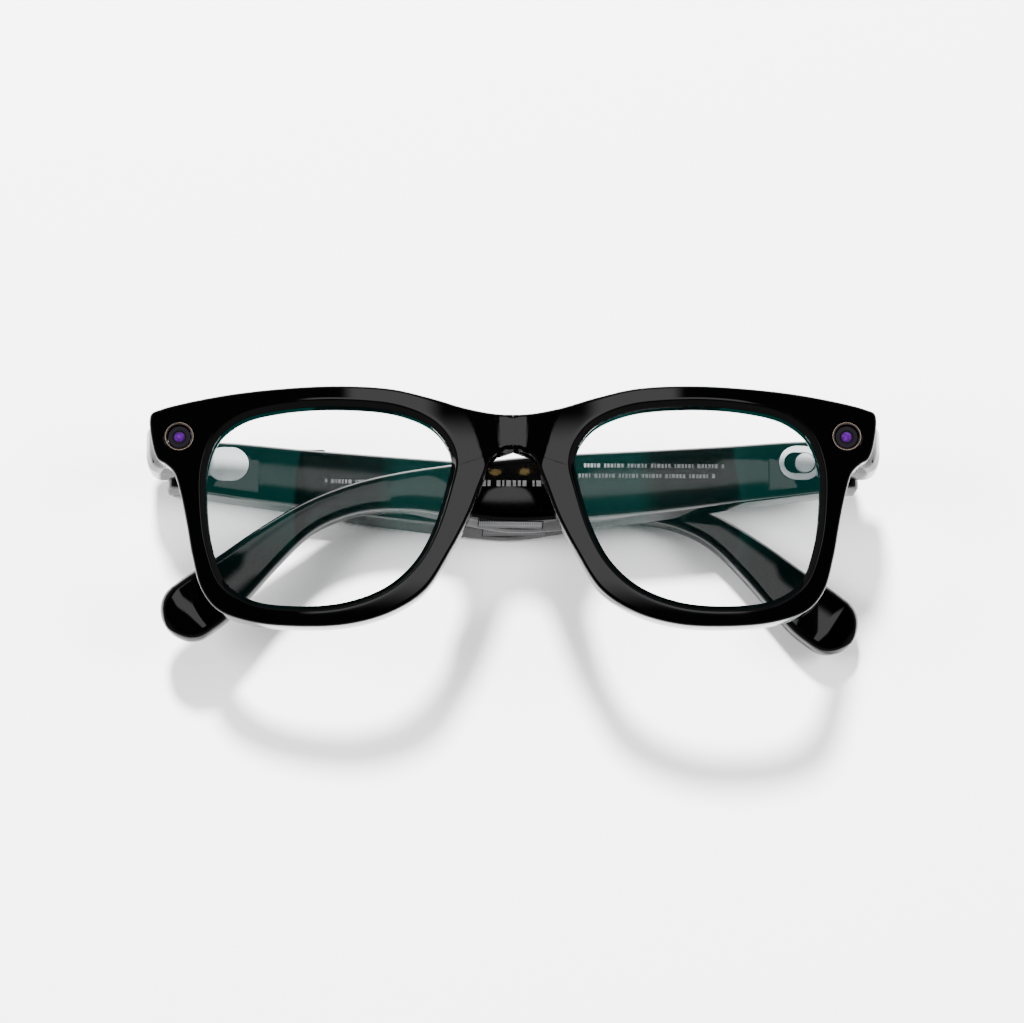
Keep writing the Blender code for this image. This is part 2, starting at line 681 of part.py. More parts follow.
def build_temple(side, parent, looks):
    mirrored = side == "left"
    shell = solid(f"temple_{side}_shell", temple_body_shape(), looks["gloss"], parent, mirrored)
    cutter(shell, inside_shape(SKIN, SKIN, 2.0), mirrored=mirrored)
    ear_low = PIN_Y - TONGUE_HEIGHT / 2 - EAR_GAP - EAR_THICK
    ear_top = PIN_Y + TONGUE_HEIGHT / 2 + EAR_GAP + EAR_THICK
    cutter(shell, block((-6.0, ear_low - 0.2, -EAR_R - 0.35), (WEB_X[1] + 0.2, ear_top + 0.2, 6.0)),
           mirrored=mirrored)
    face = inner_z(8.0)
    cutter(shell, pill((PILL_X[0] - 0.15, PILL_X[1] + 0.15), (PILL_Y[0] - 0.15, PILL_Y[1] + 0.15),
                       face - PILL_THICK - 0.15, face + 1.0), mirrored=mirrored)
    cutter(shell, grille_shape(grow=0.15, reach=1.2), mirrored=mirrored)

    cover = solid(f"temple_{side}_cover", cover_shape(), looks["satin"], parent, mirrored)
    fork, slot = fork_shape()
    made = solid(f"hinge_fork_{side}", fork, looks["steel"], parent, mirrored)
    cutter(made, slot, mirrored=mirrored)
    cutter(made, disc((0.0, 0.0), PIN_R + 0.1, ear_low - 1, ear_top + 1, "Y"), mirrored=mirrored)
    solid(f"hinge_pin_{side}", disc((0.0, 0.0), PIN_R, PIN_Y - PIN_LENGTH / 2, PIN_Y + PIN_LENGTH / 2, "Y", 28),
          looks["steel"], parent, mirrored)
    solid(f"speaker_grille_{side}", grille_shape(), looks["mesh"], parent, mirrored)
    solid(f"speaker_{side}", block((61.0, 3.6, -4.6), (74.0, 11.0, -1.4)), looks["module"], parent, mirrored)
    solid(f"microphone_{side}", block((57.2, 2.6, -3.8), (60.2, 4.6, -2.6)), looks["brass"], parent, mirrored)
    return shell


def build_right_extras(parent, shell, looks):
    face = inner_z(8.0)
    solid("pill_inlay_right", pill(PILL_X, PILL_Y, face - PILL_THICK, face), looks["pale"], parent)
    middle = (BUTTON_X[0] + BUTTON_X[1]) / 2
    top = between([(row[0], row[1] + row[2]) for row in TEMPLE_LINE], middle)
    low, high = BUTTON_X
    cutter(shell, block((low - 0.3, 12.0, -3.3), (high + 0.3, 20.0, -0.5)))
    press = solid("capture_button", block((low, top - 2.3, -3.0), (high, top + 0.35, -0.8)),
                  looks["gloss"], parent, origin=(middle, top, -1.9))
    cutter(press, block((low - 0.8, top - 2.9, -3.65), (high + 0.8, top - 2.0, -0.15)), "UNION")
    solid("button_switch", block((middle - 2, 11.6, -3.0), (middle + 2, top - 3.6, -0.8)), looks["steel"], parent)
    solid("main_board", block((32.0, 6.2, -2.6), (55.0, 13.0, -1.7)), looks["board"], parent)
    solid("processor_shield", block((35.0, 6.6, -1.5), (51.0, 12.2, -0.75)), looks["steel"], parent)
    solid("touch_film", block((32.0, 6.4, -4.8), (55.0, 12.8, -4.5)), looks["amber"], parent)
    return press


def build_left_extras(parent, shell, looks):
    face = inner_z(8.0)
    middle = (PILL_Y[0] + PILL_Y[1]) / 2
    cutter(shell, block((6.0, middle - 2.6, face - 2.6), (12.6, middle + 2.6, face)), mirrored=True)
    plate = solid("switch_plate", pill(PILL_X, PILL_Y, face - PILL_THICK, face), looks["pale"], parent, True)
    knob_x = 8.4
    slot = pill((knob_x - 2.2, knob_x + SWITCH_TRAVEL + 2.2), (middle - 2.15, middle + 2.15), face - 2, face + 1)
    cutter(plate, slot, mirrored=True)
    knob = solid("power_switch", disc((knob_x, middle), 1.95, face - 1.0, face + 0.25, count=32),
                 looks["pale"], parent, True, origin=(-knob_x, middle, face))
    cutter(knob, block((knob_x - 1.9, middle - 2.35, face - 1.9), (knob_x + 1.9, middle + 2.35, face - 0.85)),
           "UNION", True)
    solid("battery_cell", block((21.0, 7.5, -4.5), (55.0, 13.2, -1.0)), looks["foil"], parent, True)
    solid("battery_board", block((76.0, 5.4, -3.6), (82.0, 10.4, -2.7)), looks["board"], parent, True)
    return knob


def main():
    for thing in list(bpy.data.objects):
        bpy.data.objects.remove(thing)

    looks = {
        "gloss": material("gloss_black_acetate", (0.008, 0.008, 0.009), 0.12),
        "satin": material("satin_black_nylon", (0.012, 0.012, 0.013), 0.35),
        "matt": material("matt_black_nylon", (0.015, 0.015, 0.016), 0.5),
        "lens": material("coated_clear_lens", (0.82, 0.95, 0.94), 0.03, alpha=0.25),
        "steel": material("brushed_steel", (0.55, 0.55, 0.56), 0.35, 1.0),
        "lens_bronze": material("bronze_ring", (0.42, 0.36, 0.30), 0.25, 1.0),
        "glass": material("dark_optical_glass", (0.01, 0.005, 0.02), 0.04),
        "module": material("black_module", (0.03, 0.03, 0.03), 0.45),
        "clear": material("clear_light_guide", (0.8, 0.82, 0.85), 0.2),
        "board": material("green_board", (0.02, 0.12, 0.06), 0.5),
        "gold": material("gold_contact", (0.85, 0.62, 0.25), 0.25, 1.0),
        "brass": material("brass_can", (0.70, 0.58, 0.35), 0.3, 1.0),
        "mesh": material("grille_mesh", (0.05, 0.05, 0.055), 0.5, 0.6),
        "pale": material("pale_satin_inlay", (0.45, 0.46, 0.47), 0.3),
        "foil": material("cell_foil", (0.60, 0.61, 0.63), 0.3, 0.8),
        "amber": material("amber_film", (0.55, 0.28, 0.06), 0.35),
    }

    stand = empty("rest_stand", None, (*STAND_SHIFT, STAND_HEIGHT), -FOLD_TILT)
    front = empty("front_frame", stand)
    build_front(front, looks)

    right = empty("temple_right_pivot", stand, (-PIN_X, 0.0, PIN_Z), FOLD_TILT)
    shell = build_temple("right", right, looks)
    build_right_extras(right, shell, looks)

    left = empty("temple_left_pivot", stand, (PIN_X, 0.0, PIN_Z), FOLD_TILT)
    shell = build_temple("left", left, looks)
    build_left_extras(left, shell, looks)


main()
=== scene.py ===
import json
import math

import bmesh
import bpy
import numpy as np
from mathutils import Matrix, Vector

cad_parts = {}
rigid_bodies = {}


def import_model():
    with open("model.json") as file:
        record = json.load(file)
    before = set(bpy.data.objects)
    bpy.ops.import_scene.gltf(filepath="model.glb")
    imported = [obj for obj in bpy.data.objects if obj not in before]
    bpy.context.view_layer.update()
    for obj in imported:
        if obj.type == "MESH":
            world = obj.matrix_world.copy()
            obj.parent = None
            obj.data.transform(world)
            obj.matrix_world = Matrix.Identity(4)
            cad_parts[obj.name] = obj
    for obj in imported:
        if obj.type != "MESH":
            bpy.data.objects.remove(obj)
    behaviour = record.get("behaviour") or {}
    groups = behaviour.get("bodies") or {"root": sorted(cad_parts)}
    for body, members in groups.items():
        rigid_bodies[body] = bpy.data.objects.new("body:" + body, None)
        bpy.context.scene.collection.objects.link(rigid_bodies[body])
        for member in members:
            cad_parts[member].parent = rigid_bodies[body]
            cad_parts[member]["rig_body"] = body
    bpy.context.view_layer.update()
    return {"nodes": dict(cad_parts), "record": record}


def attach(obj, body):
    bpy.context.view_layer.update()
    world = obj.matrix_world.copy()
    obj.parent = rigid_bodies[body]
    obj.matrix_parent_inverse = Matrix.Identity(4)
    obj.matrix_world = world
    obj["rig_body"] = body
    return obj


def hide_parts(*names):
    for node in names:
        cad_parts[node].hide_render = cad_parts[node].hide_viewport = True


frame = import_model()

MM = 0.001

# ------------------------------------------------------------ sizes, in millimetres
RIM_DEPTH = 5.0
EDGE_ROUND = 0.6
LENS_CENTRE = (36.0, 0.0)
WRAP_X = 30.0
BRIDGE_HALF = 8.0
WRAP_OUTER_R = 180.0
WRAP_INNER_R = 300.0
FACE_BOW_R = 400.0
HALF_OUTLINE = [
    (0.0, 19.4), (8.4, 20.3), (16.2, 22.5), (24.0, 24.3), (34.0, 24.9), (46.0, 24.5), (58.3, 23.3),
    (70.0, 21.1), (71.8, 20.2), (71.3, 13.6), (70.2, 10.9), (68.6, 9.8), (66.9, 8.0), (65.6, 4.0),
    (64.2, -2.3), (62.9, -9.1), (60.9, -15.8), (57.6, -19.8), (51.0, -22.3), (42.0, -23.3), (32.0, -22.9),
    (23.7, -20.5), (17.2, -16.2), (12.3, -8.5), (8.4, -0.8), (5.8, 6.2), (3.6, 10.9), (0.0, 12.4),
]
LENS_OUTLINE = [
    (34.0, 20.8), (22.3, 19.5), (15.4, 16.1), (12.2, 10.6), (13.1, 4.6), (15.8, -4.2), (19.4, -10.6),
    (24.8, -15.4), (33.0, -18.5), (43.0, -19.1), (51.0, -17.8), (56.2, -14.2), (59.0, -7.2),
    (60.2, 0.5), (60.2, 9.0), (58.0, 14.9), (53.5, 18.4), (46.0, 20.2),
]
LIP_WIDTH = 1.15
LIP_DROP = 1.2
LENS_THICK = 2.0
LENS_SEAT = 1.8
LENS_OVERLAP = 0.6
KEY_TOP = (8.0, 18.8)
KEY_FOOT = (5.2, 8.0)
BLOCK_FRONT = [(61.8, 10.6), (62.2, 10.2), (68.4, 10.2), (69.7, 11.2), (70.7, 13.6), (70.9, 18.6),
               (70.3, 19.5), (61.4, 21.2)]
BLOCK_REAR = [(60.9, 10.1), (61.3, 9.7), (71.0, 9.7), (72.7, 10.7), (73.3, 12.6), (73.3, 18.2), (72.2, 19.9),
              (60.8, 21.4)]
BLOCK_LEVELS = [(-7.0, 0.0), (-9.5, 0.6), (-12.5, 0.95), (-15.0, 1.0), (-19.0, 1.0)]
CAVITY_X = (62.2, 71.6)
CAVITY_Y = (11.2, 19.0)
CAVITY_FRONT_Z = -9.0
EYE_X = 66.0
EYE_Y = 15.5
EYE_HOLE_R = 3.2
RING_R = 2.95
RING_BORE_R = 2.45
RING_FRONT_Z = -4.7
RING_DEPTH = 1.6
PIN_Y = 13.6
PIN_Z = -22.4
TEMPLE_LINE = [
    (-2.7, 13.5, 5.05), (11.4, 12.25, 5.75), (23.4, 11.0, 6.2), (41.4, 9.05, 7.05), (56.4, 7.75, 7.5),
    (67.4, 6.95, 7.4), (77.4, 7.2, 6.0), (88.4, 7.4, 4.1), (97.4, 6.1, 3.25), (105.0, 3.4, 3.05),
    (110.0, 0.5, 3.3), (117.0, -5.2, 4.3), (123.2, -11.0, 5.3), (128.0, -15.2, 6.1), (131.4, -17.9, 6.1),
]
OUTER_Z = -6.3
TIP_CURL = 3.8
CURL_START = 86.0
THICKNESS = [(-2.7, 9.0), (11.0, 9.0), (25.0, 7.9), (55.0, 7.0), (80.0, 6.4), (104.0, 5.6), (120.0, 5.1),
             (138.0, 5.3)]
UNDERCUT = [(12.0, 0.0), (30.0, 0.8), (50.0, 1.7), (67.0, 1.9), (80.0, 0.9), (90.0, 0.0)]
BUTT_REACH = 2.7
TIP_ROUND = 5.6
SKIN = 1.35
COVER_START = 15.6
COVER_END = 92.0
COVER_SEAM = 0.15
COVER_STEP = 0.6
COVER_SKIN = 1.3
PILL_X = (5.0, 13.6)
PILL_Y = (9.9, 16.9)
PILL_THICK = 0.6
BUTTON_X = (20.0, 29.0)
GRILLE_X = 67.5
GRILLE_HALF = 6.4
GRILLE_Z = -2.0
KEY_FALL = 0.55
GROOVE_FRONT = 1.5
GROOVE_REAR = 4.1
GROOVE_WIDE = 0.95

# ------------------------------------------------------------ light and camera
# The lenses' teal sheen is a painted reflection, an emission in bands that run from the nose outwards: (place
# from 0 to 1, level).
PAINTED_SHEEN = 0.020
PAINTED_SHEEN_BANDS = [(0.0, 0.8), (0.25, 0.85), (0.36, 0.2), (0.52, 0.12), (0.64, 0.2), (0.66, 0.9), (1.0, 0.8)]
# The soft box and the strip above it, in degrees off the mirror direction of the front.
SOFTBOX = 2.8
SOFTBOX_X = (-9.5, 13.0)
SOFTBOX_Y = (-6.0, 6.0)
STRIP_X = (-4.0, 4.0)
STRIP_Y = (6.0, 19.0)
CAMERA_LENS = 135.0
CAMERA_FAR = 0.751
CAMERA_RISE = 78

# ------------------------------------------------------------ frames, from the record's joints
JOINTS = {j["name"]: j for j in frame["record"]["behaviour"]["joints"]}
PIN_RIGHT = Vector(JOINTS["temple_right_fold"]["pos_m"])
PIN_LEFT = Vector(JOINTS["temple_left_fold"]["pos_m"])
ACROSS = (PIN_LEFT - PIN_RIGHT).normalized()
TURN = Matrix((ACROSS, Vector((0, 1, 0)), ACROSS.cross(Vector((0, 1, 0))))).transposed()
FRONT = Matrix.Translation((PIN_LEFT + PIN_RIGHT) / 2 - TURN @ Vector((0, PIN_Y, PIN_Z)) * MM) @ TURN.to_4x4()
RIGHT = Matrix.Translation(PIN_RIGHT - Vector((0, PIN_Y * MM, 0)))
LEFT = Matrix.Translation(PIN_LEFT - Vector((0, PIN_Y * MM, 0)))
MIRROR = Matrix.Scale(-1, 4, (1, 0, 0))


# ------------------------------------------------------------ materials
def shader(name, colour, rough, metal=0.0, coat=0.0, ior=1.5, bump=0.0, bump_scale=900.0, vary=0.25,
           second=None, aniso=0.0, mark_scale=300.0):
    """A Principled material whose colour, roughness and surface vary a little over the object."""
    made = bpy.data.materials.new(name)
    made.use_nodes = True
    nodes, links = made.node_tree.nodes, made.node_tree.links
    base = nodes["Principled BSDF"]
    base.inputs["Metallic"].default_value = metal
    base.inputs["Coat Weight"].default_value = coat
    base.inputs["Coat Roughness"].default_value = 0.03
    base.inputs["IOR"].default_value = ior
    base.inputs["Anisotropic"].default_value = aniso
    coords = nodes.new("ShaderNodeTexCoord")
    noise = nodes.new("ShaderNodeTexNoise")
    noise.inputs["Scale"].default_value = mark_scale
    noise.inputs["Detail"].default_value = 4.0
    links.new(coords.outputs["Object"], noise.inputs["Vector"])
    ramp = nodes.new("ShaderNodeValToRGB")
    other = second or tuple(min(1.0, c * (1 + vary)) for c in colour)
    ramp.color_ramp.elements[0].position = 0.35
    ramp.color_ramp.elements[0].color = (*colour, 1)
    ramp.color_ramp.elements[1].position = 0.7
    ramp.color_ramp.elements[1].color = (*other, 1)
    links.new(noise.outputs["Fac"], ramp.inputs["Fac"])
    links.new(ramp.outputs["Color"], base.inputs["Base Color"])
    rough_map = nodes.new("ShaderNodeMapRange")
    rough_map.inputs["To Min"].default_value = rough * 0.85
    rough_map.inputs["To Max"].default_value = rough * 1.2
    links.new(noise.outputs["Fac"], rough_map.inputs["Value"])
    links.new(rough_map.outputs["Result"], base.inputs["Roughness"])
    if bump:
        grain = nodes.new("ShaderNodeTexNoise")
        grain.inputs["Scale"].default_value = bump_scale
        grain.inputs["Detail"].default_value = 3.0
        links.new(coords.outputs["Object"], grain.inputs["Vector"])
        raised = nodes.new("ShaderNodeBump")
        raised.inputs["Strength"].default_value = bump
        raised.inputs["Distance"].default_value = 0.00005
        links.new(grain.outputs["Fac"], raised.inputs["Height"])
        links.new(raised.outputs["Normal"], base.inputs["Normal"])
    return made


def mesh_material(name):
    """Black woven mesh: a fine grid of dark holes."""
    made = shader(name, (0.03, 0.03, 0.033), 0.4, 0.7, bump=0.2)
    nodes, links = made.node_tree.nodes, made.node_tree.links
    base = nodes["Principled BSDF"]
    coords = nodes.new("ShaderNodeTexCoord")
    cells = nodes.new("ShaderNodeTexVoronoi")
    cells.inputs["Scale"].default_value = 2200.0
    cells.inputs["Randomness"].default_value = 0.0
    links.new(coords.outputs["Object"], cells.inputs["Vector"])
    ramp = nodes.new("ShaderNodeValToRGB")
    ramp.color_ramp.elements[0].position = 0.3
    ramp.color_ramp.elements[0].color = (0.001, 0.001, 0.001, 1)
    ramp.color_ramp.elements[1].position = 0.5
    ramp.color_ramp.elements[1].color = (0.06, 0.06, 0.065, 1)
    links.new(cells.outputs["Distance"], ramp.inputs["Fac"])
    links.new(ramp.outputs["Color"], base.inputs["Base Color"])
    return made


def lens_material(name, side):
    """Clear lens with an anti-reflection coating; its teal sheen is a painted reflection, an emission in soft
    upright bands that grows weaker towards the bottom.
    """
    made = bpy.data.materials.new(name)
    made.use_nodes = True
    nodes, links = made.node_tree.nodes, made.node_tree.links
    nodes.remove(nodes["Principled BSDF"])
    out = nodes["Material Output"]
    clear = nodes.new("ShaderNodeBsdfTransparent")
    clear.inputs["Color"].default_value = (1.0, 1.0, 1.0, 1)
    gloss = nodes.new("ShaderNodeBsdfGlossy")
    gloss.inputs["Color"].default_value = (0.55, 0.9, 0.85, 1)
    gloss.inputs["Roughness"].default_value = 0.02
    facing = nodes.new("ShaderNodeFresnel")
    facing.inputs["IOR"].default_value = 1.08
    mixed = nodes.new("ShaderNodeMixShader")
    links.new(facing.outputs["Fac"], mixed.inputs["Fac"])
    links.new(clear.outputs["BSDF"], mixed.inputs[1])
    links.new(gloss.outputs["BSDF"], mixed.inputs[2])
    coords = nodes.new("ShaderNodeTexCoord")
    split = nodes.new("ShaderNodeSeparateXYZ")
    links.new(coords.outputs["Object"], split.inputs["Vector"])

    def maths(operation, *values):
        node = nodes.new("ShaderNodeMath")
        node.operation = operation
        for i, value in enumerate(values):
            if isinstance(value, (int, float)):
                node.inputs[i].default_value = value
            else:
                links.new(value, node.inputs[i])
        return node.outputs[0]

    x, y = split.outputs["X"], split.outputs["Y"]
    bow = maths("MULTIPLY", maths("MULTIPLY", y, y), 9.0)
    at = maths("ADD", maths("MULTIPLY", x, 1000.0 * side), 0.0)
    at = maths("ADD", at, maths("MULTIPLY", bow, 1000.0))
    bands = nodes.new("ShaderNodeValToRGB")
    ramp = bands.color_ramp
    ramp.interpolation = "EASE"
    ramp.elements[0].position = 0.0
    ramp.elements[1].position = 1.0
    for position, _ in PAINTED_SHEEN_BANDS[1:-1]:
        ramp.elements.new(position)
    for element, (position, level) in zip(ramp.elements, PAINTED_SHEEN_BANDS):
        element.position = position
        element.color = (level, level, level, 1)
    spread = nodes.new("ShaderNodeMapRange")
    spread.inputs["From Min"].default_value = 10.0
    spread.inputs["From Max"].default_value = 62.0
    links.new(at, spread.inputs["Value"])
    links.new(spread.outputs["Result"], bands.inputs["Fac"])
    # Painted reflection: the teal sheen is an emission, not lit, in bands across the lens and weaker towards
    # its bottom.
    painted_sheen = nodes.new("ShaderNodeEmission")
    painted_sheen.inputs["Color"].default_value = (0.0, 0.95, 0.8, 1)
    fade = nodes.new("ShaderNodeMapRange")
    fade.interpolation_type = "SMOOTHSTEP"
    fade.inputs["From Min"].default_value = -0.012
    fade.inputs["From Max"].default_value = 0.003
    fade.inputs["To Min"].default_value = 0.1
    links.new(y, fade.inputs["Value"])
    level = maths("MULTIPLY", bands.outputs["Color"], fade.outputs["Result"])
    links.new(maths("MULTIPLY", level, PAINTED_SHEEN), painted_sheen.inputs["Strength"])
    whole = nodes.new("ShaderNodeAddShader")
    links.new(mixed.outputs["Shader"], whole.inputs[0])
    links.new(painted_sheen.outputs["Emission"], whole.inputs[1])
    links.new(whole.outputs["Shader"], out.inputs["Surface"])
    return made


LOOKS = {
    "gloss": shader("black_acetate", (0.0002, 0.0002, 0.00024), 0.04, ior=1.35, vary=0.3),
    "satin": shader("black_nylon_cover", (0.0003, 0.0003, 0.00034), 0.09, ior=1.35, bump=0.03),
    "matt": shader("black_nylon", (0.001, 0.001, 0.0011), 0.45, ior=1.3, bump=0.25),
    "steel": shader("hinge_steel", (0.09, 0.09, 0.093), 0.3, 1.0, aniso=0.5, bump=0.1),
    "bronze": shader("bronze_ring", (0.34, 0.27, 0.21), 0.22, 1.0, aniso=0.6, second=(0.44, 0.36, 0.28)),
    "glass": shader("dark_window", (0.0003, 0.0002, 0.0006), 0.04, ior=1.2, second=(0.0008, 0.0003, 0.0016)),
    # Painted glint: the element's purple colour stands in for the purple reflection of a lens coating.
    "purple": shader("purple_painted_glint", (0.010, 0.001, 0.026), 0.25, ior=1.2, second=(0.035, 0.002, 0.08),
                     mark_scale=1500.0),
    "module": shader("module_plastic", (0.02, 0.02, 0.021), 0.45, bump=0.2),
    "clear": shader("light_guide", (0.75, 0.77, 0.8), 0.25, second=(0.8, 0.82, 0.85)),
    "board": shader("circuit_board", (0.015, 0.09, 0.045), 0.4, second=(0.03, 0.14, 0.07), mark_scale=1200.0),
    "gold": shader("gold_contact", (0.85, 0.6, 0.22), 0.2, 1.0),
    "brass": shader("brass_can", (0.7, 0.56, 0.32), 0.3, 1.0),
    "mesh": mesh_material("grille_mesh"),
    "pale": shader("pale_inlay", (0.29, 0.30, 0.31), 0.25, coat=0.3, second=(0.34, 0.35, 0.36)),
    "foil": shader("cell_foil", (0.55, 0.56, 0.58), 0.32, 0.8, bump=0.4, bump_scale=400.0),
    "amber": shader("amber_film", (0.5, 0.24, 0.05), 0.3, coat=0.3),
    "print": shader("grey_print", (0.12, 0.122, 0.125), 0.5, second=(0.17, 0.172, 0.176)),
}


# ------------------------------------------------------------ objects
def finish_mesh(made, look, angle=35.0):
    made.data.materials.clear()
    made.data.materials.append(LOOKS[look])
    for face in made.data.polygons:
        face.use_smooth = True
    made.data.set_sharp_from_angle(angle=math.radians(angle))


def piece(name, shape, place, body, look, mirrored=False, replaced=(), bevel=0.0, angle=35.0):
    """An object from a bmesh in millimetres, drawn in the given frame, riding on a body."""
    matrix = place @ Matrix.Scale(MM, 4)
    if mirrored:
        matrix = matrix @ MIRROR
    bmesh.ops.transform(shape, matrix=matrix, verts=shape.verts)
    bmesh.ops.recalc_face_normals(shape, faces=shape.faces)
    mesh = bpy.data.meshes.new(name)
    shape.to_mesh(mesh)
    shape.free()
    made = bpy.data.objects.new(name, mesh)
    bpy.context.scene.collection.objects.link(made)
    if body is not None:
        finish_mesh(made, look, angle)
        if bevel:
            soften(made, bevel)
        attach(made, body)
        if replaced:
            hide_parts(*replaced)
    return made


def soften(made, width):
    edge = made.modifiers.new("edge", "BEVEL")
    edge.width = width * MM
    edge.segments = 3
    edge.limit_method = "ANGLE"
    edge.angle_limit = math.radians(30)
    edge.harden_normals = True


def carve(made, *tools, operation="DIFFERENCE"):
    """Applies exact Booleans now and leaves a plain mesh."""
    for tool in tools:
        step = made.modifiers.new("carve", "BOOLEAN")
        step.operation = operation
        step.solver = "EXACT"
        step.object = tool
    graph = bpy.context.evaluated_depsgraph_get()
    mesh = bpy.data.meshes.new_from_object(made.evaluated_get(graph), depsgraph=graph)
    made.modifiers.clear()
    made.data = mesh
    for tool in tools:
        bpy.data.objects.remove(tool)


def refined(node, look, bevel=0.08, angle=35.0):
    """A copy of a CAD node with rounded edges, which stands for it."""
    source = frame["nodes"][node]
    body = source["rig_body"]
    made = bpy.data.objects.new(f"{node}_fine", source.data.copy())
    bpy.context.scene.collection.objects.link(made)
    shape = bmesh.new()
    shape.from_mesh(made.data)
    bmesh.ops.remove_doubles(shape, verts=shape.verts, dist=1e-6)
    bmesh.ops.dissolve_limit(shape, angle_limit=math.radians(0.5), verts=shape.verts, edges=shape.edges)
    shape.to_mesh(made.data)
    shape.free()
    finish_mesh(made, look, angle)
    if bevel:
        soften(made, bevel)
    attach(made, body)
    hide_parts(node)
    return made


# ------------------------------------------------------------ shapes
def block(low, high):
    shape = bmesh.new()
    bmesh.ops.create_cube(shape, size=1.0)
    low, high = Vector(low), Vector(high)
    bmesh.ops.scale(shape, vec=high - low, verts=shape.verts)
    bmesh.ops.translate(shape, vec=(low + high) / 2, verts=shape.verts)
    return shape


def prism(outline, low, high, axis="Z"):
    def place(a, b, c):
        return {"Z": (a, b, c), "Y": (a, c, b), "X": (c, a, b)}[axis]

    shape = bmesh.new()
    lower = [shape.verts.new(place(a, b, low)) for a, b in outline]
    upper = [shape.verts.new(place(a, b, high)) for a, b in outline]
    shape.faces.new(lower)
    shape.faces.new(upper)
    for i in range(len(outline)):
        j = (i + 1) % len(outline)
        shape.faces.new((lower[i], lower[j], upper[j], upper[i]))
    return shape


def circle(centre, radius, count=96, start=0.0, sweep=2 * math.pi):
    closed = abs(sweep - 2 * math.pi) < 1e-9
    steps = count if closed else count - 1
    return [
        (centre[0] + radius * math.cos(start + sweep * i / steps),
         centre[1] + radius * math.sin(start + sweep * i / steps))
        for i in range(count)
    ]


def lathe(centre, profile, count=96):
    """A body turned about a Z axis, from (radius, z) points; a radius of 0 closes an end."""
    shape = bmesh.new()
    loops = []
    for radius, z in profile:
        if radius == 0:
            loops.append([shape.verts.new((*centre, z))])
        else:
            loops.append([shape.verts.new((x, y, z)) for x, y in circle(centre, radius, count)])
    closed = profile[0][0] != 0
    pairs = list(zip(loops, loops[1:]))
    if closed:
        pairs.append((loops[-1], loops[0]))
    for near, far in pairs:
        for i in range(count):
            j = (i + 1) % count
            if len(near) == 1:
                shape.faces.new((near[0], far[i], far[j]))
            elif len(far) == 1:
                shape.faces.new((near[i], near[j], far[0]))
            else:
                shape.faces.new((near[i], near[j], far[j], far[i]))
    return shape


def pill(x_range, y_range, low, high, arc=33):
    radius = (y_range[1] - y_range[0]) / 2
    middle = (y_range[0] + y_range[1]) / 2
    right = circle((x_range[1] - radius, middle), radius, arc, -math.pi / 2, math.pi)
    left = circle((x_range[0] + radius, middle), radius, arc, math.pi / 2, math.pi)
    return prism(right + left, low, high)


def smooth_curve(points, per_span, closed, level_ends=False):
    pts = [np.array(p, float) for p in points]
    count = len(pts)
    if closed:
        ring = [pts[-1], *pts, pts[0], pts[1]]
        spans = count
    else:
        ends = (2 * pts[0] - pts[1], 2 * pts[-1] - pts[-2])
        if level_ends:
            ends = (pts[1] * (-1, 1), pts[-2] * (-1, 1))
        ring = [ends[0], *pts, ends[1]]
        spans = count - 1
    out = []
    for i in range(spans):
        a, b, c, d = ring[i:i + 4]
        t = [0.0]
        for p, q in ((a, b), (b, c), (c, d)):
            t.append(t[-1] + max(np.linalg.norm(q - p), 1e-9) ** 0.5)
        for k in range(per_span):
            u = t[1] + (t[2] - t[1]) * k / per_span
            ab = (t[1] - u) / (t[1] - t[0]) * a + (u - t[0]) / (t[1] - t[0]) * b
            bc = (t[2] - u) / (t[2] - t[1]) * b + (u - t[1]) / (t[2] - t[1]) * c
            cd = (t[3] - u) / (t[3] - t[2]) * c + (u - t[2]) / (t[3] - t[2]) * d
            abc = (t[2] - u) / (t[2] - t[0]) * ab + (u - t[0]) / (t[2] - t[0]) * bc
            bcd = (t[3] - u) / (t[3] - t[1]) * bc + (u - t[1]) / (t[3] - t[1]) * cd
            out.append((t[2] - u) / (t[2] - t[1]) * abc + (u - t[1]) / (t[2] - t[1]) * bcd)
    if not closed:
        out.append(pts[-1])
    return np.array(out)


def ray_hit(centre, angle, line):
    """The distance from the centre along a ray to a closed line round it."""
    way = np.array((math.cos(angle), math.sin(angle)))
    p = line - centre
    q = np.roll(line, -1, axis=0) - centre
    edge = q - p
    cross = way[0] * edge[:, 1] - way[1] * edge[:, 0]
    cross = np.where(np.abs(cross) < 1e-12, 1e-12, cross)
    along = (p[:, 0] * edge[:, 1] - p[:, 1] * edge[:, 0]) / cross
    where = (p[:, 0] * way[1] - p[:, 1] * way[0]) / cross
    good = (along > 0) & (where >= -1e-9) & (where <= 1 + 1e-9)
    return float(along[good].max())


def line_distance(point, line, closed):
    spans = len(line) if closed else len(line) - 1
    near = line[:spans]
    far = np.roll(line, -1, axis=0)[:spans]
    edge = far - near
    share = np.clip(((point - near) * edge).sum(1) / np.maximum((edge**2).sum(1), 1e-12), 0, 1)
    return float(np.min(np.linalg.norm(near + edge * share[:, None] - point, axis=1)))


def face_height(x, y):
    off = abs(x) - WRAP_X
    radius = WRAP_OUTER_R if off > 0 else WRAP_INNER_R
    wrap = off * off / (2 * radius)
    if abs(x) < BRIDGE_HALF:
        slope = (WRAP_X - BRIDGE_HALF) / WRAP_INNER_R
        edge = (WRAP_X - BRIDGE_HALF) ** 2 / (2 * WRAP_INNER_R)
        wrap = edge + slope * (BRIDGE_HALF**2 - x * x) / (2 * BRIDGE_HALF)
    return -wrap - y * y / (2 * FACE_BOW_R)


def edge_drop(distance, reach=EDGE_ROUND):
    if distance >= reach:
        return 0.0
    return reach * (1 - math.sqrt(max(0.0, 1 - (1 - distance / reach) ** 2)))


